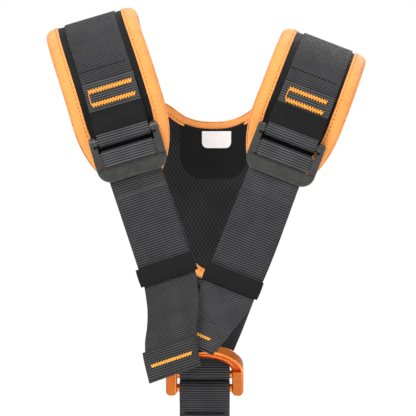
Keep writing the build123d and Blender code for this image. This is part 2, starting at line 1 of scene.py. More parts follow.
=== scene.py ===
"""Looks of the work harness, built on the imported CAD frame. Units are metres."""
import json
import math
import bpy
import bmesh
import numpy as np
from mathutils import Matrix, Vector


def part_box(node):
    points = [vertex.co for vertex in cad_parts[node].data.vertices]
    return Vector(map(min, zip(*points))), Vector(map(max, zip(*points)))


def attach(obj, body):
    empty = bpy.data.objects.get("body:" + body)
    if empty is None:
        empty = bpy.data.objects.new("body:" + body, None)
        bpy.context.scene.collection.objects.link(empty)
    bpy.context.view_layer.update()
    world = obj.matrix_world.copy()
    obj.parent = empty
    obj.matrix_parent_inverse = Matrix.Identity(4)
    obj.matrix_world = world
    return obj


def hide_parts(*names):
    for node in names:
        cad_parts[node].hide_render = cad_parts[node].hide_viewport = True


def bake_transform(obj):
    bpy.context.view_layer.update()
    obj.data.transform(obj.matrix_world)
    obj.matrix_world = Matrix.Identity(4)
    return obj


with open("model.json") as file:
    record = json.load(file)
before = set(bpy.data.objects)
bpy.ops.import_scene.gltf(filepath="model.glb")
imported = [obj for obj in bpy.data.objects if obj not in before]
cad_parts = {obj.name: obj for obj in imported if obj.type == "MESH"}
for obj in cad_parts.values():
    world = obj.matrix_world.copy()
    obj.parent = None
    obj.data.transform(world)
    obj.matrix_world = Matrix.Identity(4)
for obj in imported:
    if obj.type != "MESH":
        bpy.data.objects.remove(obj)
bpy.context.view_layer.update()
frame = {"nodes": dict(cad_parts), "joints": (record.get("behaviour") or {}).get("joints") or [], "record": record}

MM = 0.001
SIDES = ("left", "right")
FRONT = Vector((0, -1, 0))
UP = Vector((0, 0, 1))

# Driving dimensions
WEB_PITCH = 2.0 * MM          # distance between the ribs of the webbing
WEB_RIB = 0.22 * MM
WEB_ROWS_PER_RIB = 6
PAD_EDGE_DROP = 2.4 * MM       # how much the pad thins towards its edge
PAD_EDGE_REACH = 12 * MM
PAD_CROWN = 1.6 * MM           # bulge of the lining towards the body
TAPE_WIDTH = 11 * MM
YOKE_TAPE_WIDTH = 8 * MM
TAPE_THICK = 0.9 * MM
THREAD = 0.34 * MM
RANDOM = np.random.default_rng(7)


# ---- Curves and strips ----
def smooth_rows(values, at, knots):
    """Catmull-Rom through rows of values, at distances along the knots."""
    values = np.asarray(values, float)
    knots = np.asarray(knots, float)
    slopes = np.gradient(values, knots, axis=0)
    index = np.clip(np.searchsorted(knots, at, side="right") - 1, 0, len(knots) - 2)
    span = knots[index + 1] - knots[index]
    t = (at - knots[index]) / span
    shape = (-1,) + (1,) * (values.ndim - 1)
    t = t.reshape(shape)
    span = span.reshape(shape)
    a, b = values[index], values[index + 1]
    da, db = slopes[index] * span, slopes[index + 1] * span
    return ((2 * t**3 - 3 * t**2 + 1) * a + (t**3 - 2 * t**2 + t) * da
            + (3 * t**2 - 2 * t**3) * b + (t**3 - t**2) * db)


def unit(rows):
    return rows / np.maximum(np.linalg.norm(rows, axis=-1, keepdims=True), 1e-12)


class Strip:
    """A flat strip: its middle line, across and outward directions, and half width."""

    def __init__(self, left_out, right_out, right_in, left_in):
        corners = [np.asarray(c, float) for c in (left_out, right_out, right_in, left_in)]
        middle = sum(corners) / 4
        steps = np.linalg.norm(np.diff(middle, axis=0), axis=1)
        self.knots = np.concatenate([[0], np.cumsum(steps)])
        self.length = self.knots[-1]
        self.middle = middle
        self.across = unit(corners[1] + corners[2] - corners[0] - corners[3])
        self.half = np.linalg.norm(corners[1] + corners[2] - corners[0] - corners[3], axis=1) / 4
        self.thick = float(np.linalg.norm(corners[0] + corners[1] - corners[2] - corners[3], axis=1).mean() / 2)
        self.outward = unit(corners[0] + corners[1] - corners[2] - corners[3])

    def at(self, distances):
        """Middle, across, outward and half width at distances along the strip."""
        d = np.asarray(distances, float)
        middle = smooth_rows(self.middle, d, self.knots)
        across = unit(smooth_rows(self.across, d, self.knots))
        eps = 0.2 * MM
        ahead = smooth_rows(self.middle, np.minimum(d + eps, self.length), self.knots)
        behind = smooth_rows(self.middle, np.maximum(d - eps, 0), self.knots)
        tangent = unit(ahead - behind)
        outward = unit(np.cross(across, tangent))
        rough = smooth_rows(self.outward, d, self.knots)
        flip = np.sign((outward * rough).sum(1, keepdims=True))
        half = smooth_rows(self.half, d, self.knots)
        return middle, across, outward * flip, half

    def distance_near(self, point):
        """Distance along the strip of the place nearest to a point."""
        samples = np.linspace(0, self.length, 400)
        middle = smooth_rows(self.middle, samples, self.knots)
        return samples[np.argmin(np.linalg.norm(middle - np.array(point), axis=1))]


def sharp_chains(node):
    """Chains of sharp edges of a CAD node, cut at its corners."""
    mesh = bmesh.new()
    mesh.from_mesh(frame["nodes"][node].data)
    bmesh.ops.remove_doubles(mesh, verts=mesh.verts, dist=1e-6)
    sharp = [e for e in mesh.edges if len(e.link_faces) == 2 and e.calc_face_angle(0) > 0.75]
    touching = {}
    for edge in sharp:
        for vert in edge.verts:
            touching.setdefault(vert.index, []).append(edge)
    mesh.verts.ensure_lookup_table()
    corners = {v for v, edges in touching.items() if len(edges) != 2}
    chains = []
    used = set()
    for corner in sorted(corners):
        for edge in touching[corner]:
            if edge.index in used:
                continue
            chain = [corner]
            vert, step = corner, edge
            while True:
                used.add(step.index)
                vert = step.other_vert(mesh.verts[vert]).index
                chain.append(vert)
                if vert in corners:
                    break
                step = next(e for e in touching[vert] if e.index not in used)
            chains.append(chain)
    points = {v.index: np.array(v.co) for v in mesh.verts}
    mesh.free()
    return chains, points


def strip_of(node, start, facing=FRONT):
    """The strip that a CAD ribbon was lofted from. It starts at the end nearest to start."""
    chains, points = sharp_chains(node)
    length = {}
    for number, chain in enumerate(chains):
        places = np.array([points[v] for v in chain])
        length[number] = np.linalg.norm(np.diff(places, axis=0), axis=1).sum()
    order = sorted(length, key=length.get)
    rails = [chains[n] for n in order[-4:]]
    short = [chains[n] for n in order[:4]]
    end = min((r[i] for r in rails for i in (0, -1)), key=lambda v: np.linalg.norm(points[v] - np.array(start)))
    near = {v for v in ends_of(short, end)}
    linked = {v for c in chains if len(c) >= 2 for v in (c[0], c[-1]) if near & {c[0], c[-1]}}
    first = near | {v for v in linked if not any(is_rail(rails, v, n) for n in near)}
    rails = [r if r[0] in first else r[::-1] for r in rails]
    heads = np.array([points[r[0]] for r in rails])
    side = heads - heads.mean(0)
    pair = next(set((c[0], c[-1])) for c in short if c[0] in first)
    mate = [r for r in rails if r[0] in pair]
    rest = [r for r in rails if r[0] not in pair]
    axis = points[rest[0][0]] + points[rest[1][0]] - points[mate[0][0]] - points[mate[1][0]]
    if axis[0] < 0:
        mate, rest = rest, mate
    depth = np.array(facing)
    mate.sort(key=lambda r: -points[r[0]] @ depth)
    rest.sort(key=lambda r: -points[r[0]] @ depth)
    lines = [np.array([points[v] for v in r]) for r in (mate[0], rest[0], rest[1], mate[1])]
    if len({len(line) for line in lines}) > 1:
        lines = [evenly(line, 24) for line in lines]
    return Strip(*lines)


def evenly(line, count):
    """The same line with points at even distances."""
    steps = np.concatenate([[0], np.cumsum(np.linalg.norm(np.diff(line, axis=0), axis=1))])
    d = np.linspace(0, steps[-1], count)
    return np.stack([np.interp(d, steps, line[:, k]) for k in range(3)], axis=1)


def ends_of(short, corner):
    for chain in short:
        if corner in (chain[0], chain[-1]):
            return (chain[0], chain[-1])
    return (corner,)


def is_rail(rails, a, b):
    return any({r[0], r[-1]} == {a, b} for r in rails)


def edge_outline(node, facing=FRONT):
    """Outer and inner edge lines of a pad, from one back corner round the tip to the other."""
    chains, points = sharp_chains(node)
    chains.sort(key=lambda c: sum(np.linalg.norm(points[a] - points[b]) for a, b in zip(c, c[1:])))
    lines = []
    for chain in chains[-2:]:
        line = np.array([points[v] for v in chain])
        if line[0][0] > line[-1][0]:
            line = line[::-1]
        lines.append(line)
    lines.sort(key=lambda line: -line[len(line) // 2] @ np.array(facing))
    return lines


def pad_strip(node):
    outer, inner = edge_outline(node)
    half = len(outer) // 2
    return Strip(outer[:half][::-1], outer[half:], inner[half:], inner[:half][::-1])


# ---- Meshes ----
def mesh_object(name, points, faces, materials, uv=None, face_materials=None):
    data = bpy.data.meshes.new(name)
    data.from_pydata([tuple(p) for p in points], [], faces)
    for item in materials:
        data.materials.append(item)
    if face_materials is not None:
        data.polygons.foreach_set("material_index", np.asarray(face_materials, np.int32))
    if uv is not None:
        layer = data.uv_layers.new(name="UVMap")
        loops = np.empty(len(data.loops), np.int32)
        data.loops.foreach_get("vertex_index", loops)
        layer.data.foreach_set("uv", np.asarray(uv, np.float32)[loops].ravel())
    data.polygons.foreach_set("use_smooth", np.ones(len(data.polygons), bool))
    data.update()
    made = bpy.data.objects.new(name, data)
    bpy.context.scene.collection.objects.link(made)
    recalculated = bmesh.new()
    recalculated.from_mesh(data)
    bmesh.ops.recalc_face_normals(recalculated, faces=recalculated.faces)
    recalculated.to_mesh(data)
    recalculated.free()
    return made


def grid_faces(rows, columns, closed=True):
    """Faces of a grid of rows; closed joins the last column to the first and caps both ends."""
    faces = []
    last = columns if closed else columns - 1
    for r in range(rows - 1):
        for c in range(last):
            d = (c + 1) % columns
            faces.append((r * columns + c, r * columns + d, (r + 1) * columns + d, (r + 1) * columns + c))
    if closed:
        faces.append(tuple(range(columns))[::-1])
        faces.append(tuple((rows - 1) * columns + c for c in range(columns)))
    return faces


def swept(name, grid, materials, uv, closed=True):
    """Object from a grid of points, rows along the sweep and columns round the section."""
    rows, columns = grid.shape[:2]
    return mesh_object(name, grid.reshape(-1, 3), grid_faces(rows, columns, closed),
                       materials, uv.reshape(-1, 2))


def place(strip, s, u, w):
    """Points at distance s, sideways u and outward w on a strip. u and w hold a row for each s."""
    middle, across, outward, _ = strip.at(s)
    return middle[:, None] + across[:, None] * u[..., None] + outward[:, None] * w[..., None]


def rounded_section(half, thick, count=15):
    """Sideways and outward places round a thin strip with rounded edges."""
    r = thick / 2
    turn = np.linspace(-math.pi / 2, math.pi / 2, 5)
    flat = np.linspace(-1, 1, count) * (half - r)
    top = [(x, r) for x in flat]
    right = [(half - r + r * math.cos(a), r * math.sin(a)) for a in turn[::-1][1:-1]]
    bottom = [(x, -r) for x in flat[::-1]]
    left = [(-half + r - r * math.cos(a), r * math.sin(a)) for a in turn[1:-1]]
    return np.array(top + right + bottom + left)


def webbing(name, strip, body, nodes, start=0.0, end=None, material=None, lift=0.0):
    """Ribbed webbing along a strip, with a rib across it at every pick."""
    end = strip.length if end is None else end
    rows = max(int((end - start) / WEB_PITCH * WEB_ROWS_PER_RIB), 8)
    s = np.linspace(start, end, rows)
    _, _, _, half = strip.at(s)
    base = rounded_section(float(half.mean()), strip.thick)
    phase = (s / WEB_PITCH) % 1.0
    rib = np.abs(np.sin(math.pi * phase)) ** 0.7 - 0.6
    scale = half / half.mean()
    u = base[None, :, 0] * scale[:, None]
    w = base[None, :, 1] * (1 + 2 * WEB_RIB / strip.thick * rib[:, None])
    selvedge = np.clip((np.abs(u) / half[:, None] - 0.93) / 0.07, 0, 1)
    u = u + np.sign(u) * selvedge * 0.12 * MM * rib[:, None]
    w = w + lift
    grid = place(strip, s, u, w)
    uv = np.stack([u / MM, np.broadcast_to(s[:, None], u.shape) / MM], axis=-1)
    made = swept(name, grid, [material or MATERIAL["black_webbing"]], uv)
    return dress(made, body, nodes)


def dress(piece, body, nodes=()):
    """Puts a piece on its body and hides the CAD nodes it stands for."""
    if nodes:
        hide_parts(*nodes)
    if body:
        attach(piece, body)
    return piece


def tubes(name, lines, radius, material, sides=7):
    """One object of round threads, each along its own line of points."""
    points, faces, uv = [], [], []
    turn = np.linspace(0, 2 * math.pi, sides, endpoint=False)
    for line in lines:
        line = np.asarray(line, float)
        tangent = unit(np.gradient(line, axis=0))
        helper = np.where(np.abs(tangent[:, 1:2]) < 0.9, np.array([[0, 1, 0]]), np.array([[1, 0, 0]]))
        first = unit(np.cross(tangent, helper))
        second = np.cross(tangent, first)
        taper = np.ones(len(line))
        taper[0] = taper[-1] = 0.35
        ring = line[:, None] + radius * taper[:, None, None] * (
            first[:, None] * np.cos(turn)[None, :, None] + second[:, None] * np.sin(turn)[None, :, None])
        offset = len(points)
        points.extend(ring.reshape(-1, 3))
        faces.extend([tuple(offset + i for i in f) for f in grid_faces(len(line), sides)])
        along = np.arange(len(line)) * 0.6
        uv.extend([(a, b) for a in along for b in turn])
    return mesh_object(name, points, faces, [material], np.array(uv))


def running_stitch(line, outward, length=2.6 * MM, gap=0.9 * MM, lift=0.15 * MM):
    """Separate thread arcs along a line, each dipping into the cloth at both ends."""
    line = np.asarray(line)
    steps = np.concatenate([[0], np.cumsum(np.linalg.norm(np.diff(line, axis=0), axis=1))])
    arcs = []
    for begin in np.arange(0.5 * MM, steps[-1] - length, length + gap):
        d = np.linspace(begin, begin + length, 6)
        point = np.stack([np.interp(d, steps, line[:, k]) for k in range(3)], axis=1)
        normal = np.stack([np.interp(d, steps, outward[:, k]) for k in range(3)], axis=1)
        rise = lift * (np.sin(np.linspace(0, math.pi, 6)) * 2 - 1)
        arcs.append(point + unit(normal) * rise[:, None])
    return arcs


def zigzag(origin, across, up, outward, width, height, pitch, lift=0.2 * MM):
    """Bar-tack thread: a dense zigzag line of the given width and height."""
    count = int(width / pitch) * 2
    points = []
    for step in range(count * 4 + 1):
        share = step / (count * 4)
        wave = abs(((share * count) % 2) - 1) * 2 - 1
        bulge = (1 - wave * wave) * lift
        points.append(origin + across * (share - 0.5) * width + up * (wave * height / 2) + outward * bulge)
    return np.array(points)


# ---- Materials ----
class Paint:
    """Builds one node material step by step."""

    def __init__(self, name, colour, roughness, metallic=0.0, sheen=0.0):
        self.material = bpy.data.materials.new(name)
        self.material.use_nodes = True
        self.tree = self.material.node_tree
        self.surface = self.tree.nodes["Principled BSDF"]
        self.surface.inputs["Base Color"].default_value = (*colour, 1)
        self.surface.inputs["Roughness"].default_value = roughness
        self.surface.inputs["Metallic"].default_value = metallic
        self.surface.inputs["Sheen Weight"].default_value = sheen
        self.surface.inputs["Specular IOR Level"].default_value = 0.5 if metallic else 0.16

    def node(self, kind, **values):
        made = self.tree.nodes.new(kind)
        for key, value in values.items():
            if key in made.inputs:
                self.feed(value, made.inputs[key])
            else:
                setattr(made, key, value)
        return made

    def feed(self, value, socket):
        if isinstance(value, bpy.types.NodeSocket):
            self.tree.links.new(value, socket)
        else:
            socket.default_value = value

    def maths(self, operation, a, b=0.0):
        made = self.node("ShaderNodeMath", operation=operation)
        self.feed(a, made.inputs[0])
        self.feed(b, made.inputs[1])
        return made.outputs[0]

    def uv(self):
        """UV in millimetres: across the cloth and along it."""
        source = self.node("ShaderNodeUVMap")
        split = self.node("ShaderNodeSeparateXYZ", Vector=source.outputs["UV"])
        return split.outputs["X"], split.outputs["Y"]

    def wave(self, value, pitch, power=1.0):
        """A rounded ridge from 0 to 1 that repeats at a pitch."""
        turned = self.maths("MULTIPLY", value, math.pi / pitch)
        ridge = self.maths("ABSOLUTE", self.maths("SINE", turned))
        return self.maths("POWER", ridge, power)

    def noise(self, scale, detail=3.0):
        place_node = self.node("ShaderNodeTexCoord")
        made = self.node("ShaderNodeTexNoise", Scale=scale, Detail=detail, Vector=place_node.outputs["Object"])
        return made.outputs["Fac"]

    def blend_colours(self, factor, low, high):
        made = self.node("ShaderNodeMix", data_type="RGBA")
        self.feed(factor, made.inputs[0])
        self.feed(low if not isinstance(low, tuple) else (*low, 1), made.inputs[6])
        self.feed(high if not isinstance(high, tuple) else (*high, 1), made.inputs[7])
        return made.outputs[2]

    def vary(self, colour, scale, low, high):
        """Colour made lighter and darker by noise, between two factors."""
        spread = self.node("ShaderNodeMapRange", Value=self.noise(scale))
        spread.inputs["From Min"].default_value = 0.3
        spread.inputs["From Max"].default_value = 0.7
        spread.inputs["To Min"].default_value = low
        spread.inputs["To Max"].default_value = high
        made = self.node("ShaderNodeVectorMath", operation="SCALE")
        self.feed(colour if not isinstance(colour, tuple) else colour, made.inputs[0])
        self.feed(spread.outputs["Result"], made.inputs["Scale"])
        return made.outputs[0]

    def colour(self, value):
        self.feed(value, self.surface.inputs["Base Color"])

    def roughness(self, scale, low, high):
        spread = self.node("ShaderNodeMapRange", Value=self.noise(scale))
        spread.inputs["To Min"].default_value = low
        spread.inputs["To Max"].default_value = high
        self.feed(spread.outputs["Result"], self.surface.inputs["Roughness"])

    def bump(self, height, distance, strength=1.0):
        made = self.node("ShaderNodeBump", Strength=strength, Distance=distance, Height=height)
        self.tree.links.new(made.outputs["Normal"], self.surface.inputs["Normal"])
        return self.material


def webbing_paint(name, rib, gap):
    paint = Paint(name, rib, 0.62)
    across, along = paint.uv()
    ridge = paint.wave(along, WEB_PITCH / MM, 2.0)
    yarn = paint.wave(across, 0.85, 1.0)
    shaded = paint.maths("MULTIPLY", ridge, paint.maths("ADD", paint.maths("MULTIPLY", yarn, 0.35), 0.65))
    # Painted shade: the gap colour darkens the grooves between ribs, and less so the lines between yarns, against the
    # webbing's own rib colour.
    ribs_with_painted_groove_shade = paint.blend_colours(shaded, gap, rib)
    paint.colour(paint.vary(ribs_with_painted_groove_shade, 60.0, 0.82, 1.2))
    paint.roughness(400.0, 0.5, 0.8)
    height = paint.maths("ADD", paint.maths("MULTIPLY", yarn, ridge), paint.maths("MULTIPLY", paint.noise(2500.0), 0.5))
    return paint.bump(height, 0.00018)


def cloth_paint(name, colour, pitch=0.7, depth=0.00006, spread=(0.85, 1.15), sheen=0.0):
    """Plain weave: over and under threads at a small pitch."""
    paint = Paint(name, colour, 0.75, sheen=sheen)
    across, along = paint.uv()
    weave = paint.maths("MULTIPLY", paint.wave(across, pitch), paint.wave(along, pitch))
    shade = paint.blend_colours(weave, tuple(c * 0.72 for c in colour), tuple(c * 1.12 for c in colour))
    paint.colour(paint.vary(shade, 45.0, *spread))
    paint.roughness(300.0, 0.62, 0.88)
    height = paint.maths("ADD", weave, paint.maths("MULTIPLY", paint.noise(900.0), 0.8))
    return paint.bump(height, depth)


def spacer_mesh_paint():
    """Knitted spacer mesh: rows of open cells, each row set half a cell aside."""
    paint = Paint("spacer_mesh", (0.012, 0.012, 0.013), 0.8)
    across, along = paint.uv()
    slope_a = paint.maths("ADD", across, paint.maths("MULTIPLY", along, 0.62))
    slope_b = paint.maths("SUBTRACT", across, paint.maths("MULTIPLY", along, 0.62))
    cell = paint.maths("MULTIPLY", paint.wave(slope_a, 3.6, 0.9), paint.wave(slope_b, 3.6, 0.9))
    hole = paint.maths("SMOOTH_MIN", cell, 0.75)
    # Painted highlight on the cell rims and painted shade in the open holes.
    painted_rim_highlight_and_hole_shade = paint.blend_colours(hole, (0.022, 0.022, 0.024), (0.0015, 0.0015, 0.0016))
    paint.colour(paint.vary(painted_rim_highlight_and_hole_shade, 50.0, 0.8, 1.2))
    height = paint.maths("SUBTRACT", paint.maths("MULTIPLY", paint.noise(1800.0), 0.15), hole)
    return paint.bump(height, 0.0008)


def thread_paint(name, colour):
    paint = Paint(name, colour, 0.5)
    across, along = paint.uv()
    twist = paint.wave(paint.maths("ADD", across, along), 0.5)
    shade = paint.blend_colours(twist, tuple(c * 0.7 for c in colour), colour)
    paint.colour(paint.vary(shade, 200.0, 0.85, 1.1))
    return paint.bump(twist, 0.00006)


def steel_paint():
    paint = Paint("dark_steel", (0.040, 0.040, 0.038), 0.42, metallic=0.65)
    paint.colour(paint.vary((0.040, 0.040, 0.038), 120.0, 0.85, 1.2))
    paint.roughness(700.0, 0.34, 0.52)
    return paint.bump(paint.noise(3500.0), 0.00003)


def anodised_paint():
    paint = Paint("orange_anodised", (0.62, 0.17, 0.035), 0.3, metallic=1.0)
    paint.colour(paint.vary((0.62, 0.17, 0.035), 90.0, 0.85, 1.1))
    paint.roughness(500.0, 0.22, 0.38)
    return paint.bump(paint.noise(2200.0), 0.00002)


def foam_paint():
    paint = Paint("closed_cell_foam", (0.01, 0.01, 0.01), 0.9)
    paint.colour(paint.vary((0.01, 0.01, 0.01), 300.0, 0.7, 1.3))
    return paint.bump(paint.noise(1500.0), 0.0002)


BLACK = (0.006, 0.006, 0.0065)
MATERIAL = {
    # The second colour of each webbing material is painted shade in the grooves between its ribs.
    "black_webbing": webbing_paint("black_webbing", (0.052, 0.052, 0.055), (0.003, 0.003, 0.0035)),
    "black_cloth": cloth_paint("black_cloth", BLACK, 0.55),
    "cover_cloth": cloth_paint("cover_cloth", (0.004, 0.004, 0.0045), 0.5, 0.00003),
    "black_elastic": cloth_paint("black_elastic", (0.005, 0.005, 0.0055), 1.1, 0.00010),
    "spacer_mesh": spacer_mesh_paint(),
    "orange_tape": cloth_paint("orange_tape", (0.80, 0.30, 0.075), 0.8, 0.00005, (0.93, 1.06), 0.15),
    "orange_thread": thread_paint("orange_thread", (0.93, 0.36, 0.05)),
    "tape_thread": thread_paint("tape_thread", (0.42, 0.12, 0.02)),
    "black_thread": thread_paint("black_thread", (0.006, 0.006, 0.006)),
    "white_label": cloth_paint("white_label", (0.80, 0.79, 0.77), 0.4, 0.00003, (0.96, 1.03)),
    "dark_steel": steel_paint(),
    "orange_anodised": anodised_paint(),
    "closed_cell_foam": foam_paint(),
}


# ---- Reading places from the CAD pieces ----
def islands(node):
    """The separate solids of a CAD node, as arrays of points."""
    mesh = bmesh.new()
    mesh.from_mesh(frame["nodes"][node].data)
    bmesh.ops.remove_doubles(mesh, verts=mesh.verts, dist=1e-6)
    left = set(mesh.verts)
    groups = []
    while left:
        stack = [left.pop()]
        group = []
        while stack:
            vert = stack.pop()
            group.append(tuple(vert.co))
            for edge in vert.link_edges:
                other = edge.other_vert(vert)
                if other in left:
                    left.remove(other)
                    stack.append(other)
        groups.append(np.array(group))
    mesh.free()
    return groups


def slab_axes(points):
    """Centre, long, middle and short directions of a flat block, with its two larger sizes."""
    centre = (points.min(0) + points.max(0)) / 2
    centre = points.mean(0)
    _, _, axes = np.linalg.svd(points - centre)
    spread = [np.ptp((points - centre) @ axis) for axis in axes]
    long, middle, short = axes
    if long[0] < 0:
        long = -long
    if middle[2] < 0:
        middle = -middle
    if short[1] > 0:
        short = -short
    return centre, long, middle, short, spread


def joint(name):
    return next(j for j in frame["joints"] if j["name"] == name)


def mount(name):
    return next(m for m in frame["record"]["mounts"] if m["name"] == name)


def ease(value):
    value = np.clip(value, 0, 1)
    return value * value * (3 - 2 * value)


def edge_drop(distance):
    """How far a padded surface falls at a distance from its edge."""
    return PAD_EDGE_DROP * (1 - np.clip(distance / PAD_EDGE_REACH, 0, 1)) ** 2


# ---- Edge tape ----
def tape(name, edge, inward, outward, top, bottom, width, body, node):
    """Folded binding tape along an edge. top and bottom give the padded surfaces' heights."""
    steps = np.concatenate([[0], np.cumsum(np.linalg.norm(np.diff(edge, axis=0), axis=1))])
    reach = np.linspace(width, 1.6 * MM, 11)
    top_edge, bottom_edge = top(0) + TAPE_THICK * 0.6, bottom(0) - TAPE_THICK * 0.6
    middle, radius = (top_edge + bottom_edge) / 2, (top_edge - bottom_edge) / 2
    turn = np.linspace(math.pi / 2, -math.pi / 2, 9)
    puff = 0.45 * MM * np.sin(math.pi * reach / width) ** 0.7
    groove = 0.4 * MM * np.exp(-(((width - 2.2 * MM) - reach) / (0.8 * MM)) ** 2)
    over = [(x, top(x) + TAPE_THICK + p - g) for x, p, g in zip(reach, puff, groove)]
    round_edge = [(1.4 * MM - 2.2 * MM * math.cos(a), middle + radius * 1.05 * math.sin(a)) for a in turn]
    under = [(x, bottom(x) - TAPE_THICK - p) for x, p in zip(reach[::-1], puff[::-1])]
    back = [(x, bottom(x) + 0.5 * MM) for x in reach[::3]]
    front = [(x, top(x) - 0.5 * MM) for x in reach[::-3]]
    section = np.array(over + round_edge + under + back + front)
    wrinkle = RANDOM.normal(0, 1, len(edge))
    kernel = np.hanning(9)
    wrinkle = np.convolve(wrinkle, kernel / kernel.sum(), "same") * 0.16 * MM
    outer = np.zeros(len(section))
    outer[:len(over) + len(round_edge) + len(under)] = 1
    x = np.broadcast_to(section[:, 0], (len(edge), len(section)))
    sign = np.where(section[:, 1] > middle, 1, -1)
    w = section[None, :, 1] + wrinkle[:, None] * outer * sign
    grid = edge[:, None] + inward[:, None] * x[..., None] + outward[:, None] * w[..., None]
    girth = np.concatenate([[0], np.cumsum(np.linalg.norm(np.diff(section, axis=0), axis=1))])
    uv = np.stack(np.broadcast_arrays(girth[None, :] / MM, steps[:, None] / MM), axis=-1)
    made = swept(name, grid, [MATERIAL["orange_tape"]], uv)
    dress(made, body, [node])
    line_at = width - 2.2 * MM
    level = top(line_at) + TAPE_THICK - 0.05 * MM
    arcs = running_stitch(edge + inward * line_at + outward * level, outward)
    seam = tubes(name + "_seam", arcs, 0.3 * MM, MATERIAL["tape_thread"], 6)
    dress(seam, body)
    return made


def smooth_line(line, passes):
    line = line.copy()
    for _ in range(passes):
        line[1:-1] = line[:-2] * 0.25 + line[1:-1] * 0.5 + line[2:] * 0.25
    return line


def resample(line, spacing):
    steps = np.concatenate([[0], np.cumsum(np.linalg.norm(np.diff(line, axis=0), axis=1))])
    d = np.linspace(0, steps[-1], max(int(steps[-1] / spacing), 8))
    return np.stack([np.interp(d, steps, line[:, k]) for k in range(line.shape[1])], axis=1)


# ---- Pads ----
def pad_surfaces(side):
    """The pad's strip, and its outer and inner height at a distance from the edge."""
    shell = pad_strip(side + "_pad_shell")
    lining = pad_strip(side + "_pad_lining")
    depth = np.linalg.norm(lining.middle[-1] - shell.middle[-1]) + lining.thick / 2
    face = shell.thick / 2

    def top(distance):
        return face - edge_drop(distance)

    def bottom(distance):
        return -depth + edge_drop(distance) - PAD_CROWN * ease((distance - 8 * MM) / (20 * MM))
    return shell, top, bottom


def build_pad(side):
    shell, top, bottom = pad_surfaces(side)
    near_tip = np.linspace(0, 1, 24) ** 1.6 * 40 * MM
    s = np.concatenate([near_tip, np.arange(42 * MM, shell.length, 2.5 * MM), [shell.length]])
    half = shell.at(s)[3]
    share = np.sin(np.linspace(-1, 1, 41) * math.pi / 2)
    u = half[:, None] * share[None, :]
    distance = np.minimum(half[:, None] - np.abs(u), s[:, None] + 3 * MM)
    w_top, w_bottom = top(distance), bottom(distance)
    pucker = 0.25 * MM * np.sin(s[:, None] / (5.2 * MM)) * np.exp(-((distance - 13 * MM) / (4 * MM)) ** 2)
    all_u = np.concatenate([u, u[:, ::-1]], axis=1)
    all_w = np.concatenate([w_top + pucker, (w_bottom - pucker)[:, ::-1]], axis=1)
    grid = place(shell, s, all_u, all_w)
    uv = np.stack(np.broadcast_arrays(all_u / MM, s[:, None] / MM), axis=-1)
    made = swept(side + "_pad", grid, [MATERIAL["black_cloth"], MATERIAL["spacer_mesh"]], uv)
    columns = grid.shape[1]
    centre = np.array([(p.vertices[0] % columns) >= columns // 2 for p in made.data.polygons], np.int32)
    made.data.polygons.foreach_set("material_index", centre)
    nodes = [side + part for part in ("_pad_shell", "_pad_foam", "_pad_lining")]
    dress(made, "harness", nodes)
    build_pad_tape(side, shell, top, bottom)


def build_pad_tape(side, shell, top, bottom):
    s = np.linspace(0, shell.length, 260)
    middle, across, outward, half = shell.at(s)
    left = middle - across * half[:, None]
    right = middle + across * half[:, None]
    edge = np.concatenate([left[::-1], right])
    normal = np.concatenate([outward[::-1], outward])
    joined = np.concatenate([edge, normal], axis=1)
    joined = resample(joined, 1.8 * MM)
    edge = smooth_line(joined[:, :3], 6)
    normal = unit(smooth_line(joined[:, 3:], 6))
    tangent = unit(np.gradient(edge, axis=0))
    inward = unit(np.cross(normal, tangent))
    to_middle = middle.mean(0) - edge
    if (inward * to_middle).sum(1).mean() < 0:
        inward = -inward
    tape(side + "_pad_tape", edge, inward, normal, top, bottom, TAPE_WIDTH, "harness", side + "_pad_binding")


# ---- Yoke ----
def yoke_curves():
    """Neck curve and lower curve of the yoke, from left to right, in the lining's plane."""
    chains, points = sharp_chains("yoke_lining")
    chains.sort(key=lambda c: sum(np.linalg.norm(points[a] - points[b]) for a, b in zip(c, c[1:])))
    lines = []
    for chain in (chains[-1], chains[-3]):
        line = np.array([points[v] for v in chain])
        lines.append(line if line[0][0] < line[-1][0] else line[::-1])
    lower, neck = lines
    return neck, lower


def curve_distance(x, z, curves):
    """Shortest distance in the yoke's plane from each place to the curves."""
    best = np.full(x.shape, 1.0)
    for curve in curves:
        line = resample(curve, 1.0 * MM)
        for px, _, pz in line:
            best = np.minimum(best, np.hypot(x - px, z - pz))
    return best


def yoke_levels():
    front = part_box("yoke_lining")[0].y
    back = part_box("yoke_shell")[1].y
    middle = (front + back) / 2
    half = (back - front) / 2

    def top(distance):
        return half - edge_drop(distance) + 0.5 * MM * ease((distance - 8 * MM) / (15 * MM))

    def bottom(distance):
        return -half + edge_drop(distance)
    return middle, top, bottom


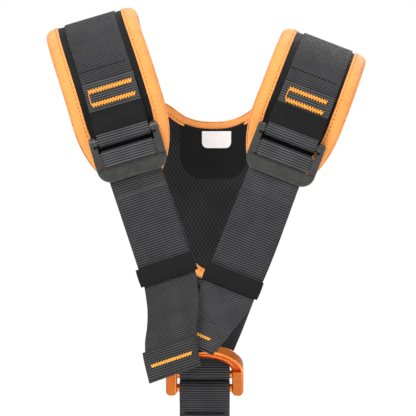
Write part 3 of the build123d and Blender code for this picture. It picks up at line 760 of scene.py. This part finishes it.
def build_yoke():
    neck, lower = yoke_curves()
    middle, top, bottom = yoke_levels()
    upper = np.concatenate([lower[:1], neck, lower[-1:]])
    x = np.linspace(lower[0][0] + 0.4 * MM, lower[-1][0] - 0.4 * MM, 130)
    low = np.interp(x, lower[:, 0], lower[:, 2])
    high = np.interp(x, upper[:, 0], upper[:, 2])
    share = np.sin(np.linspace(-1, 1, 61) * math.pi / 2) / 2 + 0.5
    z = low[:, None] + (high - low)[:, None] * share[None, :]
    xs = np.broadcast_to(x[:, None], z.shape)
    distance = curve_distance(xs, z, (neck, lower))
    front = np.stack([xs, middle - top(distance), z], axis=-1)
    back = np.stack([xs, middle - bottom(distance), z], axis=-1)[:, ::-1]
    grid = np.concatenate([front, back], axis=1)
    uv = grid[..., [0, 2]] / MM
    made = swept("yoke", grid, [MATERIAL["spacer_mesh"], MATERIAL["black_cloth"]], uv)
    columns = grid.shape[1]
    rear = np.array([(p.vertices[0] % columns) >= columns // 2 for p in made.data.polygons], np.int32)
    made.data.polygons.foreach_set("material_index", rear)
    dress(made, "harness", ["yoke_lining", "yoke_foam", "yoke_shell"])
    outward = np.array([[0.0, -1.0, 0.0]])
    for name, curve, nodes in (("yoke_neck_tape", neck, "yoke_binding"), ("yoke_lower_tape", lower, "yoke_binding")):
        edge = smooth_line(resample(curve, 1.8 * MM), 4)
        edge[:, 1] = middle
        tangent = unit(np.gradient(edge, axis=0))
        inward = unit(np.cross(tangent, outward))
        if name == "yoke_neck_tape" and inward[len(edge) // 2][2] > 0:
            inward = -inward
        if name == "yoke_lower_tape" and inward[len(edge) // 2][2] < 0:
            inward = -inward
        normal = np.repeat(outward, len(edge), axis=0)
        tape(name, edge, inward, normal, top, bottom, YOKE_TAPE_WIDTH, "harness", nodes)
    build_neck_panel(neck, lower, middle, top)
    build_label(middle, top)


def rounded_bottom(x, half, bottom, radius):
    """Height of the lower edge of a panel with rounded corners."""
    past = np.clip(np.abs(x) - (half - radius), 0, radius)
    return bottom + radius - np.sqrt(radius**2 - past**2)


def draped_panel(name, x, low, high, level, thick, material, node):
    """Thin panel in the yoke's plane. level gives its front face's distance towards the wearer."""
    share = np.linspace(0, 1, 33)
    z = low[:, None] + (high - low)[:, None] * share[None, :]
    xs = np.broadcast_to(x[:, None], z.shape)
    y = level(xs, z)
    front = np.stack([xs, y, z], axis=-1)
    back = np.stack([xs, y + thick, z], axis=-1)[:, ::-1]
    grid = np.concatenate([front, back], axis=1)
    made = swept(name, grid, [material], grid[..., [0, 2]] / MM)
    return dress(made, "harness", [node])


def build_neck_panel(neck, lower, middle, top):
    low_corner, high_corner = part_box("yoke_neck_panel")
    half = (high_corner.x - low_corner.x) / 2
    x = np.linspace(-half + 0.1 * MM, half - 0.1 * MM, 61)
    low = rounded_bottom(x, half, low_corner.z, 20 * MM)
    high = np.interp(x, neck[:, 0], neck[:, 2]) - YOKE_TAPE_WIDTH + 2 * MM

    def level(xs, z):
        inside = np.minimum(half - np.abs(xs), z - rounded_bottom(xs, half, low_corner.z, 20 * MM))
        puff = 1.5 * MM * ease(inside / (7 * MM))
        return middle - top(curve_distance(xs, z, (neck,))) - 0.3 * MM - puff
    draped_panel("neck_panel", x, low, high, level, 0.9 * MM, MATERIAL["cover_cloth"],
                 "yoke_neck_panel")
    turn = np.linspace(-half + 3.0 * MM, half - 3.0 * MM, 80)
    line = np.stack([turn, np.zeros(80), rounded_bottom(turn, half - 3 * MM, low_corner.z + 3 * MM, 17 * MM)], 1)
    line[:, 1] = level(line[:, 0], line[:, 2]) - 0.1 * MM
    arcs = running_stitch(line, np.repeat([[0.0, -1.0, 0.0]], 80, axis=0))
    dress(tubes("neck_panel_seam", arcs, 0.25 * MM, MATERIAL["black_thread"], 6), "harness")


def build_label(middle, top):
    low_corner, high_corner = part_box("label")
    half = (high_corner.x - low_corner.x) / 2
    centre = (high_corner.x + low_corner.x) / 2
    x = np.linspace(-half, half, 41)
    low = rounded_bottom(x, half, low_corner.z, 5 * MM)
    high = np.full_like(x, high_corner.z)
    face = middle - top(20 * MM) - 2.6 * MM

    def level(xs, z):
        curl = 1.2 * MM * ((high_corner.z - z) / (16 * MM)) ** 2
        wave = 0.5 * MM * ((xs - centre) / half) ** 2
        return face - curl + wave * 0.6
    draped_panel("label", x + centre, low, high, level, 0.4 * MM, MATERIAL["white_label"], "label")


# ---- Straps ----
def joined(first, second):
    """Two strips end to end as one."""
    made = Strip.__new__(Strip)
    made.middle = np.concatenate([first.middle[:-1], second.middle])
    steps = np.linalg.norm(np.diff(made.middle, axis=0), axis=1)
    made.knots = np.concatenate([[0], np.cumsum(steps)])
    made.length = made.knots[-1]
    made.across = np.concatenate([first.across[:-1], second.across])
    made.outward = np.concatenate([first.outward[:-1], second.outward])
    made.half = np.concatenate([first.half[:-1], second.half])
    made.thick = first.thick
    return made


def turned_end(strip, flap, gap=0.15 * MM, skew=0.0):
    """The strip with its end folded back over the outward face for the length of the flap."""
    radius = (strip.thick + gap) / 2
    s = np.linspace(0, strip.length - radius, 40)
    middle, across, outward, half = strip.at(s)
    tip, tip_across, tip_out, tip_half = (part[-1] for part in (middle, across, outward, half))
    tangent = unit(middle[-1] - middle[-2])
    turn = np.linspace(0, math.pi, 7)[1:-1]
    centre = tip + tip_out * radius
    bend = centre + np.outer(np.sin(turn), tangent) * radius - np.outer(np.cos(turn), tip_out) * radius
    bend_out = np.outer(np.cos(turn), tip_out) - np.outer(np.sin(turn), tangent)
    back = np.linspace(strip.length - radius, strip.length - flap, 14)
    b_middle, b_across, b_outward, b_half = strip.at(back)
    shift = np.linspace(0, 1, len(back))[:, None] * skew
    b_middle = b_middle + b_outward * (2 * radius) + b_across * shift
    made = Strip.__new__(Strip)
    made.middle = np.concatenate([middle, bend, b_middle])
    made.across = np.concatenate([across, np.repeat(tip_across[None], len(turn), 0), b_across])
    made.outward = np.concatenate([outward, -bend_out, -b_outward])
    made.half = np.concatenate([half, np.full(len(turn), tip_half), b_half])
    made.knots = np.concatenate([[0], np.cumsum(np.linalg.norm(np.diff(made.middle, axis=0), axis=1))])
    made.length = made.knots[-1]
    made.thick = strip.thick
    return made


TAIL_FLAP = 24 * MM


def build_straps(side):
    top = (0, 0, 1)
    chest = (0, 0, 0)
    shoulder = strip_of(side + "_shoulder_webbing", chest)
    webbing(side + "_shoulder_strap", shoulder, "harness", [side + "_shoulder_webbing"])
    load = strip_of(side + "_load_strap", top)
    webbing(side + "_load_webbing", load, "harness", [side + "_load_strap"])
    loop = strip_of(side + "_buckle_loop", top)
    webbing(side + "_loop_webbing", loop, "harness", [side + "_buckle_loop"], material=MATERIAL["tab_webbing"])
    build_cover(side, loop)
    build_shoulder_seam(side, shoulder)
    build_bar_webbing(side)
    build_tail(side)


def build_bar_webbing(side):
    """Webbing round the lock frame's flat bar, with its ends meeting at the back."""
    node = side + "_bar_wrap"
    across = np.array(joint(side + "_lock_frame_tilt")["axis"], float)
    if across[0] < 0:
        across = -across
    outward = np.array([0.0, -1.0, 0.0])
    up = np.cross(outward, across)
    if up[2] < 0:
        up = -up
    points = np.concatenate(islands(node))
    low = np.array([(points @ axis).min() for axis in (across, up, outward)])
    high = np.array([(points @ axis).max() for axis in (across, up, outward)])
    middle = (low + high) / 2
    half_v, half_w = (high[1] - low[1]) / 2, (high[2] - low[2]) / 2
    thick = 1.4 * MM
    radius = half_w - thick / 2
    flat = half_v - half_w
    turn = np.linspace(0, math.pi, 15)
    back = np.linspace(1, 0, 8)[1:-1]
    path = [(-flat * share, -radius) for share in back[::-1]]
    path += [(-flat - radius * math.sin(a), -radius * math.cos(a)) for a in turn]
    path += [(flat + radius * math.sin(a), radius * math.cos(a)) for a in turn]
    path += [(flat * share, -radius) for share in back]
    path = resample(np.array(path), 1.2 * MM)
    centre = across * middle[0] + up * middle[1] + outward * middle[2]
    made = Strip.__new__(Strip)
    made.middle = centre + np.outer(path[:, 0], up) + np.outer(path[:, 1], outward)
    made.across = np.repeat(across[None], len(path), axis=0)
    tangent = unit(np.gradient(made.middle, axis=0))
    made.outward = unit(np.cross(made.across, tangent))
    away = made.middle - centre
    if (made.outward * away).sum() < 0:
        made.outward = -made.outward
    made.half = np.full(len(path), (high[0] - low[0]) / 2)
    made.thick = thick
    made.knots = np.concatenate([[0], np.cumsum(np.linalg.norm(np.diff(made.middle, axis=0), axis=1))])
    made.length = made.knots[-1]
    webbing(side + "_bar_webbing", made, side + "_lock", [node], material=MATERIAL["tab_webbing"])


def build_cover(side, loop):
    """Smooth sleeve over the loop, between the sewn tab and the buckle."""
    low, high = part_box(side + "_loop_cover")
    centre = (Vector(low) + Vector(high)) / 2
    d = np.linspace(0, loop.length, 400)
    middle = loop.at(d)[0]
    nearest = d[np.argmin(np.linalg.norm(middle - np.array(centre), axis=1))]
    if loop.at(np.array([nearest]))[2][0] @ FRONT < 0:
        raise ValueError(side + " loop faces backwards under its cover")
    s = np.linspace(nearest - 10 * MM, nearest + 10 * MM, 30)
    half = float(loop.half.mean()) + 0.7 * MM
    face = loop.thick / 2
    wall = 0.8 * MM
    share = np.linspace(-1, 1, 25) * (half - wall)
    turn = np.linspace(math.pi / 2, -math.pi / 2, 7)[1:-1]
    over = [(x, face + 1.0 * MM) for x in share]
    right = [(half - wall + wall * math.cos(a), face * math.sin(a) + 0.3 * MM) for a in turn]
    under = [(x, -face * 0.6) for x in (half - wall, half - 3 * MM)]
    inside = [(x, face + 0.1 * MM) for x in share[::-1]]
    left_under = [(-x, w) for x, w in under[::-1]]
    left = [(-x, w) for x, w in right[::-1]]
    section = np.array(over + right + under + inside + left_under + left)
    u = np.broadcast_to(section[:, 0], (len(s), len(section)))
    ends = np.exp(-((s - s[0]) / (1.2 * MM)) ** 2) + np.exp(-((s - s[-1]) / (1.2 * MM)) ** 2)
    lift = np.where(section[:, 1] > face + 0.5 * MM, 1.0, 0.0)
    w = section[None, :, 1] - lift[None, :] * ends[:, None] * 0.5 * MM
    grid = place(loop, s, u, w)
    uv = np.stack(np.broadcast_arrays(u / MM, s[:, None] / MM), axis=-1)
    made = swept(side + "_loop_sleeve", grid, [MATERIAL["cover_cloth"]], uv)
    dress(made, "harness", [side + "_loop_cover"])


def build_shoulder_seam(side, strip):
    """Black seam across the shoulder webbing above the tab."""
    tab = np.concatenate(islands(side + "_bartacks"))
    at = strip.distance_near(tab[tab[:, 2].argmax()]) + 18 * MM
    middle, across, outward, half = (part[0] for part in strip.at(np.array([at])))
    share = np.linspace(-0.98, 1 - 0.02, 60)[:, None]
    line = middle + across * (share * half) + outward * (strip.thick / 2 + 0.15 * MM)
    arcs = running_stitch(line, np.repeat(outward[None], 60, axis=0), 2.2 * MM, 0.7 * MM)
    dress(tubes(side + "_shoulder_seam", arcs, 0.35 * MM, MATERIAL["black_thread"], 6), "harness")


def build_tail(side):
    upper = strip_of(side + "_tail", (0, 0, 1))
    lower = strip_of(side + "_tail_end", (0, 0, 1))
    whole = joined(upper, lower)
    skew = -2.0 * MM if side == "left" else 0.0
    folded = turned_end(whole, TAIL_FLAP, skew=skew)
    made = webbing(side + "_tail_webbing", folded, None, [side + "_tail", side + "_tail_end"],
                   material=MATERIAL[side + "_tail_webbing"])
    middle, _, _, _ = whole.at(np.array([upper.length - 3 * MM, upper.length + 6 * MM]))
    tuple(middle[0])
    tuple(middle[1])
    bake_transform(made)
    reach = 34 * MM if side == "left" else 24 * MM
    at = whole.length - (11.5 * MM if side == "left" else 10 * MM)
    centre, across, outward, _ = (part[0] for part in whole.at(np.array([at])))
    ahead = whole.at(np.array([at - 1 * MM]))[0][0]
    up = unit(ahead - centre)
    origin = centre + outward * (whole.thick * 1.5 + 0.5 * MM) + across * skew / 2
    lines = [zigzag(origin, across, up, outward, reach, 3.0 * MM, 2.1 * MM)]
    lines.append(zigzag(origin + across * 0.5 * MM, across, up, outward, reach, 2.6 * MM, 2.1 * MM))
    thread = tubes(side + "_tail_zigzag", lines, THREAD, MATERIAL["tail_thread"])
    dress(thread, side + "_tail_free_end", [side + "_tail_stitching"])


def build_bartacks(side):
    """Two bar-tack rows, joined by a line of thread at one end."""
    parts = islands(side + "_bartacks")
    parts.sort(key=lambda p: np.ptp(p[:, 0]))
    link, rows = parts[0], parts[1:]
    lines = []
    for row in rows:
        centre, across, up, outward, spread = slab_axes(row)
        for shift in (0.0, 0.55 * MM):
            lines.append(zigzag(centre + across * shift, across, up, outward, spread[0] - 1 * MM,
                                spread[1], 2.3 * MM))
    centre, along, _, outward, spread = slab_axes(link)
    ends = np.linspace(-0.5, 0.5, 12)[:, None]
    lines.append(centre + along * ends * (spread[0] + 3.5 * MM))
    thread = tubes(side + "_bartack_thread", lines, THREAD, MATERIAL["orange_thread"])
    dress(thread, "harness", [side + "_bartacks"])


def bar_rows(name, node, body, material):
    """Straight bar tacks in place of plain stitching blocks."""
    lines = []
    for row in islands(node):
        centre, across, up, outward, spread = slab_axes(row)
        up = np.array([0.0, 0.0, 1.0])
        facing = np.array([0.0, -1.0, 0.0]) if centre[1] < 0.1 else np.array([0.0, 1.0, 0.0])
        lines.append(zigzag(centre, across, up, facing, spread[0], 2.2 * MM, 1.9 * MM))
    dress(tubes(name, lines, THREAD, material), body, [node])


# ---- Elastic keepers ----
def build_keeper(side):
    slide = joint(side + "_keeper_slide")
    up = np.array(slide["axis"], float)
    outward = np.array([0.0, -1.0, 0.0])
    across = unit(np.cross(up, outward))
    if across[0] < 0:
        across = -across
    points = np.concatenate(islands(side + "_keeper"))
    centre = (points.min(0) + points.max(0)) / 2
    half, depth, height = (np.ptp(points @ axis) for axis in (across, outward, up))
    half, depth = half / 2, depth / 2
    corner = 2.4 * MM
    turn = np.linspace(0, 2 * math.pi, 96, endpoint=False)
    square = np.stack([np.cos(turn), np.sin(turn)], 1)
    square = np.sign(square) * np.abs(square) ** 0.16
    loop_u = square[:, 0] * (half - 0.2 * MM)
    loop_w = square[:, 1] * (depth - 0.2 * MM)
    normal = unit(np.stack([np.sign(square[:, 0]) * np.abs(square[:, 0]) ** 10,
                            np.sign(square[:, 1]) * np.abs(square[:, 1]) ** 10], 1))
    across_section = np.linspace(-1, 1, 19)
    wall = 1.0 * MM
    outer = [(h, 0.35 * MM * (1 - h * h)) for h in across_section]
    inner = [(h, -wall) for h in across_section[::-1]]
    section = np.array(outer + inner)
    grid = np.empty((len(turn) + 1, len(section), 3))
    for i in range(len(turn) + 1):
        k = i % len(turn)
        push = section[:, 1]
        u = loop_u[k] + normal[k, 0] * push
        w = loop_w[k] + normal[k, 1] * push
        v = section[:, 0] * height / 2
        grid[i] = centre + np.outer(u, across) + np.outer(w, outward) + np.outer(v, up)
    steps = np.cumsum(np.hypot(*np.diff(np.stack([loop_u, loop_w], 1), axis=0, prepend=[[loop_u[0], loop_w[0]]]).T))
    steps = np.append(steps, steps[-1] + 1 * MM)
    uv = np.stack(np.broadcast_arrays(steps[:, None] / MM, section[None, :, 0] * height / 2 / MM), axis=-1)
    rows, columns = grid.shape[:2]
    faces = [f for f in grid_faces(rows, columns) if len(f) == 4]
    made = mesh_object(side + "_keeper_elastic", grid.reshape(-1, 3), faces, [MATERIAL["black_elastic"]],
                       uv.reshape(-1, 2))
    welded = bmesh.new()
    welded.from_mesh(made.data)
    bmesh.ops.remove_doubles(welded, verts=welded.verts, dist=1e-6)
    bmesh.ops.recalc_face_normals(welded, faces=welded.faces)
    welded.to_mesh(made.data)
    welded.free()
    dress(made, side + "_keeper_loop", [side + "_keeper"])


# ---- Sewn straps with eyes ----
def side_ribbon(name, path, half, thick, body, nodes):
    """Webbing whose path lies in a plane of constant X. path holds (y, z) places."""
    path = resample(np.asarray(path, float), 1.5 * MM)
    path = smooth_line(path, 2)
    middle = np.stack([np.zeros(len(path)), path[:, 0], path[:, 1]], axis=1)
    tangent = unit(np.gradient(middle, axis=0))
    across = np.repeat([[1.0, 0.0, 0.0]], len(path), axis=0)
    made = Strip.__new__(Strip)
    made.middle, made.across = middle, across
    made.outward = unit(np.cross(across, tangent))
    made.half = np.full(len(path), half)
    made.thick = thick
    made.knots = np.concatenate([[0], np.cumsum(np.linalg.norm(np.diff(middle, axis=0), axis=1))])
    made.length = made.knots[-1]
    return webbing(name, made, body, nodes)


def arc(centre, radius, start, end, count=24):
    """Places on a circle in the YZ plane. Angles are in degrees from +Y towards +Z."""
    turn = np.radians(np.linspace(start, end, count))
    return np.stack([centre[0] + radius * np.cos(turn), centre[1] + radius * np.sin(turn)], axis=1)


def build_belt_strap():
    eye = mount("belt_eye")
    eye_centre = (eye["pos_m"][1], eye["pos_m"][2])
    eye_radius = eye["dims"]["r_mm"] * MM + 0.7 * MM
    bar = joint("belt_strap_swing")["pos_m"]
    bar_centre = (bar[1], bar[2])
    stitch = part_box("belt_stitching")[1].z
    ply = 0.8 * MM
    path = np.concatenate([
        arc(eye_centre, eye_radius, -90, -220),
        [(-ply, eye_centre[1] + 18 * MM), (-ply, eye_centre[1] + 24 * MM), (-ply, stitch)],
        arc(bar_centre, 5.8 * MM, 180, 0),
        [(ply, stitch), (ply, eye_centre[1] + 24 * MM), (ply, eye_centre[1] + 18 * MM)],
        arc(eye_centre, eye_radius, 40, -89)])
    half = (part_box("belt_strap")[1].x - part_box("belt_strap")[0].x) / 2
    side_ribbon("belt_webbing", path, half, 1.4 * MM, "belt", ["belt_strap"])
    bar_rows("belt_tacks", "belt_stitching", "belt", MATERIAL["black_thread"])


def build_back_strap():
    eye = mount("back_eye")
    y, z = eye["pos_m"][1], eye["pos_m"][2]
    eye_radius = eye["dims"]["r_mm"] * MM + 0.7 * MM
    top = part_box("back_strap")[1].z
    path = np.concatenate([
        [(y, top), (y, z + 22 * MM), (y, z + 17 * MM)],
        arc((y, z), eye_radius, 140, 400, 40),
        [(y + 1.5 * MM, z + 17 * MM), (y + 1.5 * MM, z + 22 * MM), (y + 1.5 * MM, z + 34 * MM)]])
    half = (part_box("back_strap")[1].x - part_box("back_strap")[0].x) / 2
    side_ribbon("back_webbing", path, half, 1.4 * MM, "harness", ["back_strap"])
    bar_rows("back_tacks", "back_stitching", "harness", MATERIAL["orange_thread"])


# ---- Metal parts ----
def finish_metal(node, material, width):
    """A CAD metal part keeps its mesh and gets softened edges and its finish."""
    part = frame["nodes"][node]
    part.data.materials.clear()
    part.data.materials.append(MATERIAL[material])
    bevel = part.modifiers.new("Soft edges", "BEVEL")
    bevel.width = width
    bevel.segments = 2
    bevel.limit_method = "ANGLE"
    bevel.angle_limit = math.radians(38)
    bevel.harden_normals = True
    for polygon in part.data.polygons:
        polygon.use_smooth = True
    part.data.set_sharp_from_angle(angle=math.radians(38))


# ---- Studio ----
FLOOR_Z = -0.42
FLOOR_HALF = 6.0
# name, place, size and power of each soft lamp
LAMPS = (
    ("key", (-0.9, -1.5, 1.5), 1.0, 40),
    ("fill", (1.3, -1.5, 0.4), 1.4, 12),
    ("top", (0.1, 0.1, 1.9), 1.6, 22),
    ("rear", (0.6, 2.0, 1.2), 1.6, 26),
)


def build_studio():
    """Plain white floor and surroundings with soft lamps."""
    floor = bpy.data.materials.new("studio_white")
    floor.use_nodes = True
    shader = floor.node_tree.nodes["Principled BSDF"]
    shader.inputs["Base Color"].default_value = (0.93, 0.93, 0.93, 1)
    shader.inputs["Roughness"].default_value = 0.9
    shader.inputs["Emission Color"].default_value = (1, 1, 1, 1)
    shader.inputs["Emission Strength"].default_value = 0.5
    corners = [(x * FLOOR_HALF, y * FLOOR_HALF, FLOOR_Z) for x, y in ((-1, -1), (1, -1), (1, 1), (-1, 1))]
    mesh_object("studio_floor", corners, [(0, 1, 2, 3)], [floor])
    build_surroundings()
    target = Vector((0, 0.1, 0.15))
    for name, stand, size, power in LAMPS:
        lamp = bpy.data.lights.new(name, "AREA")
        lamp.size = size
        lamp.energy = power
        made = bpy.data.objects.new(name, lamp)
        bpy.context.scene.collection.objects.link(made)
        made.location = stand
        made.rotation_mode = "QUATERNION"
        made.rotation_quaternion = (target - Vector(stand)).to_track_quat("-Z", "Y")


def build_surroundings():
    """White to the camera, and a little dimmer as a light on the harness."""
    world = bpy.data.worlds.new("Studio")
    bpy.context.scene.world = world
    world.use_nodes = True
    tree = world.node_tree
    background = tree.nodes["Background"]
    background.inputs["Color"].default_value = (1, 1, 1, 1)
    rays = tree.nodes.new("ShaderNodeLightPath")
    strength = tree.nodes.new("ShaderNodeMapRange")
    strength.inputs["To Min"].default_value = 0.62
    strength.inputs["To Max"].default_value = 1.0
    tree.links.new(rays.outputs["Is Camera Ray"], strength.inputs["Value"])
    tree.links.new(strength.outputs["Result"], background.inputs["Strength"])


def build_camera():
    """Level view of the front, a little from the wearer's left, as a long lens sees it."""
    distance = 2.2
    view_width = 0.341
    azimuth = math.radians(2.4)
    target = Vector((2.7 * MM, 0, 136.1 * MM))
    camera = bpy.data.cameras.new("Camera")
    camera.lens = camera.sensor_width * distance / view_width
    made = bpy.data.objects.new("Camera", camera)
    bpy.context.scene.collection.objects.link(made)
    direction = Vector((math.sin(azimuth), -math.cos(azimuth), 0))
    made.location = target + direction * distance
    made.rotation_mode = "QUATERNION"
    made.rotation_quaternion = (-direction).to_track_quat("-Z", "Y")
    bpy.context.scene.camera = made


# The second colour of each webbing here is painted shade in the grooves between ribs.
MATERIAL["tab_webbing"] = webbing_paint("tab_webbing", (0.075, 0.075, 0.078), (0.003, 0.003, 0.0035))
MATERIAL["left_tail_webbing"] = webbing_paint("left_tail_webbing", (0.052, 0.051, 0.052), (0.004, 0.004, 0.0045))
MATERIAL["right_tail_webbing"] = webbing_paint("right_tail_webbing", (0.062, 0.062, 0.065), (0.008, 0.008, 0.009))
MATERIAL["tail_thread"] = thread_paint("tail_thread", (0.86, 0.38, 0.06))

for one_side in SIDES:
    build_pad(one_side)
    build_straps(one_side)
    build_bartacks(one_side)
    build_keeper(one_side)
    finish_metal(one_side + "_buckle_plate", "dark_steel", 0.35 * MM)
    finish_metal(one_side + "_lock_frame", "dark_steel", 0.35 * MM)
build_yoke()
build_belt_strap()
build_back_strap()
finish_metal("attachment_ring", "orange_anodised", 0.4 * MM)
build_studio()
build_camera()
bpy.context.scene.view_settings.view_transform = "Standard"
